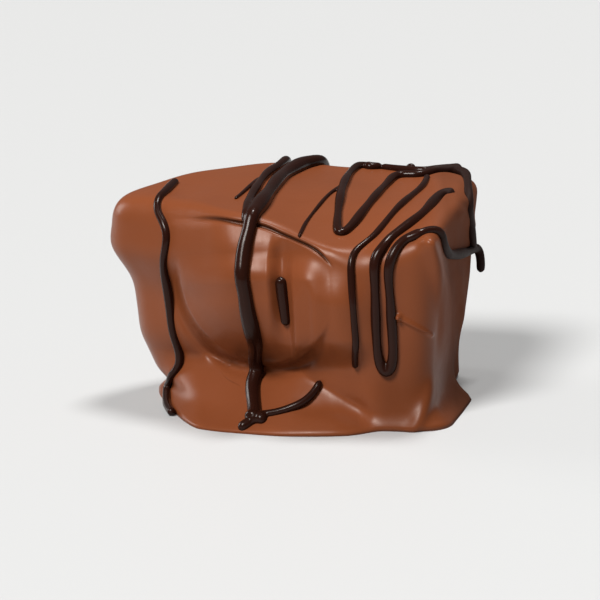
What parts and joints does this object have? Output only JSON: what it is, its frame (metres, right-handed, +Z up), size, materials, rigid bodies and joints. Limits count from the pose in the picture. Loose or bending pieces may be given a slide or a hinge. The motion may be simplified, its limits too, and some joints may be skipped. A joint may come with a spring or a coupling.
{
  "type": "chocolate-covered pineapple piece",
  "caption": "Wedge of a pineapple slice dipped in milk chocolate, with a run-down foot at its base and strands of dark chocolate drizzled over its top and sides.",
  "frame": {"origin": "middle of the box around the piece, on the plane that it rests on", "axes": "+X along the wide outer side of the wedge, from its left tip to its right side as seen from the narrow core end; +Y from the core end to the outer side; +Z up"},
  "size_m": [0.0662, 0.0536, 0.0393],
  "materials": {
    "milk_chocolate": "satin milk chocolate",
    "dark_chocolate": "glossy dark chocolate"
  },
  "bodies": {
    "root": {"chocolate_pineapple": "milk_chocolate"}
  },
  "joints": []
}
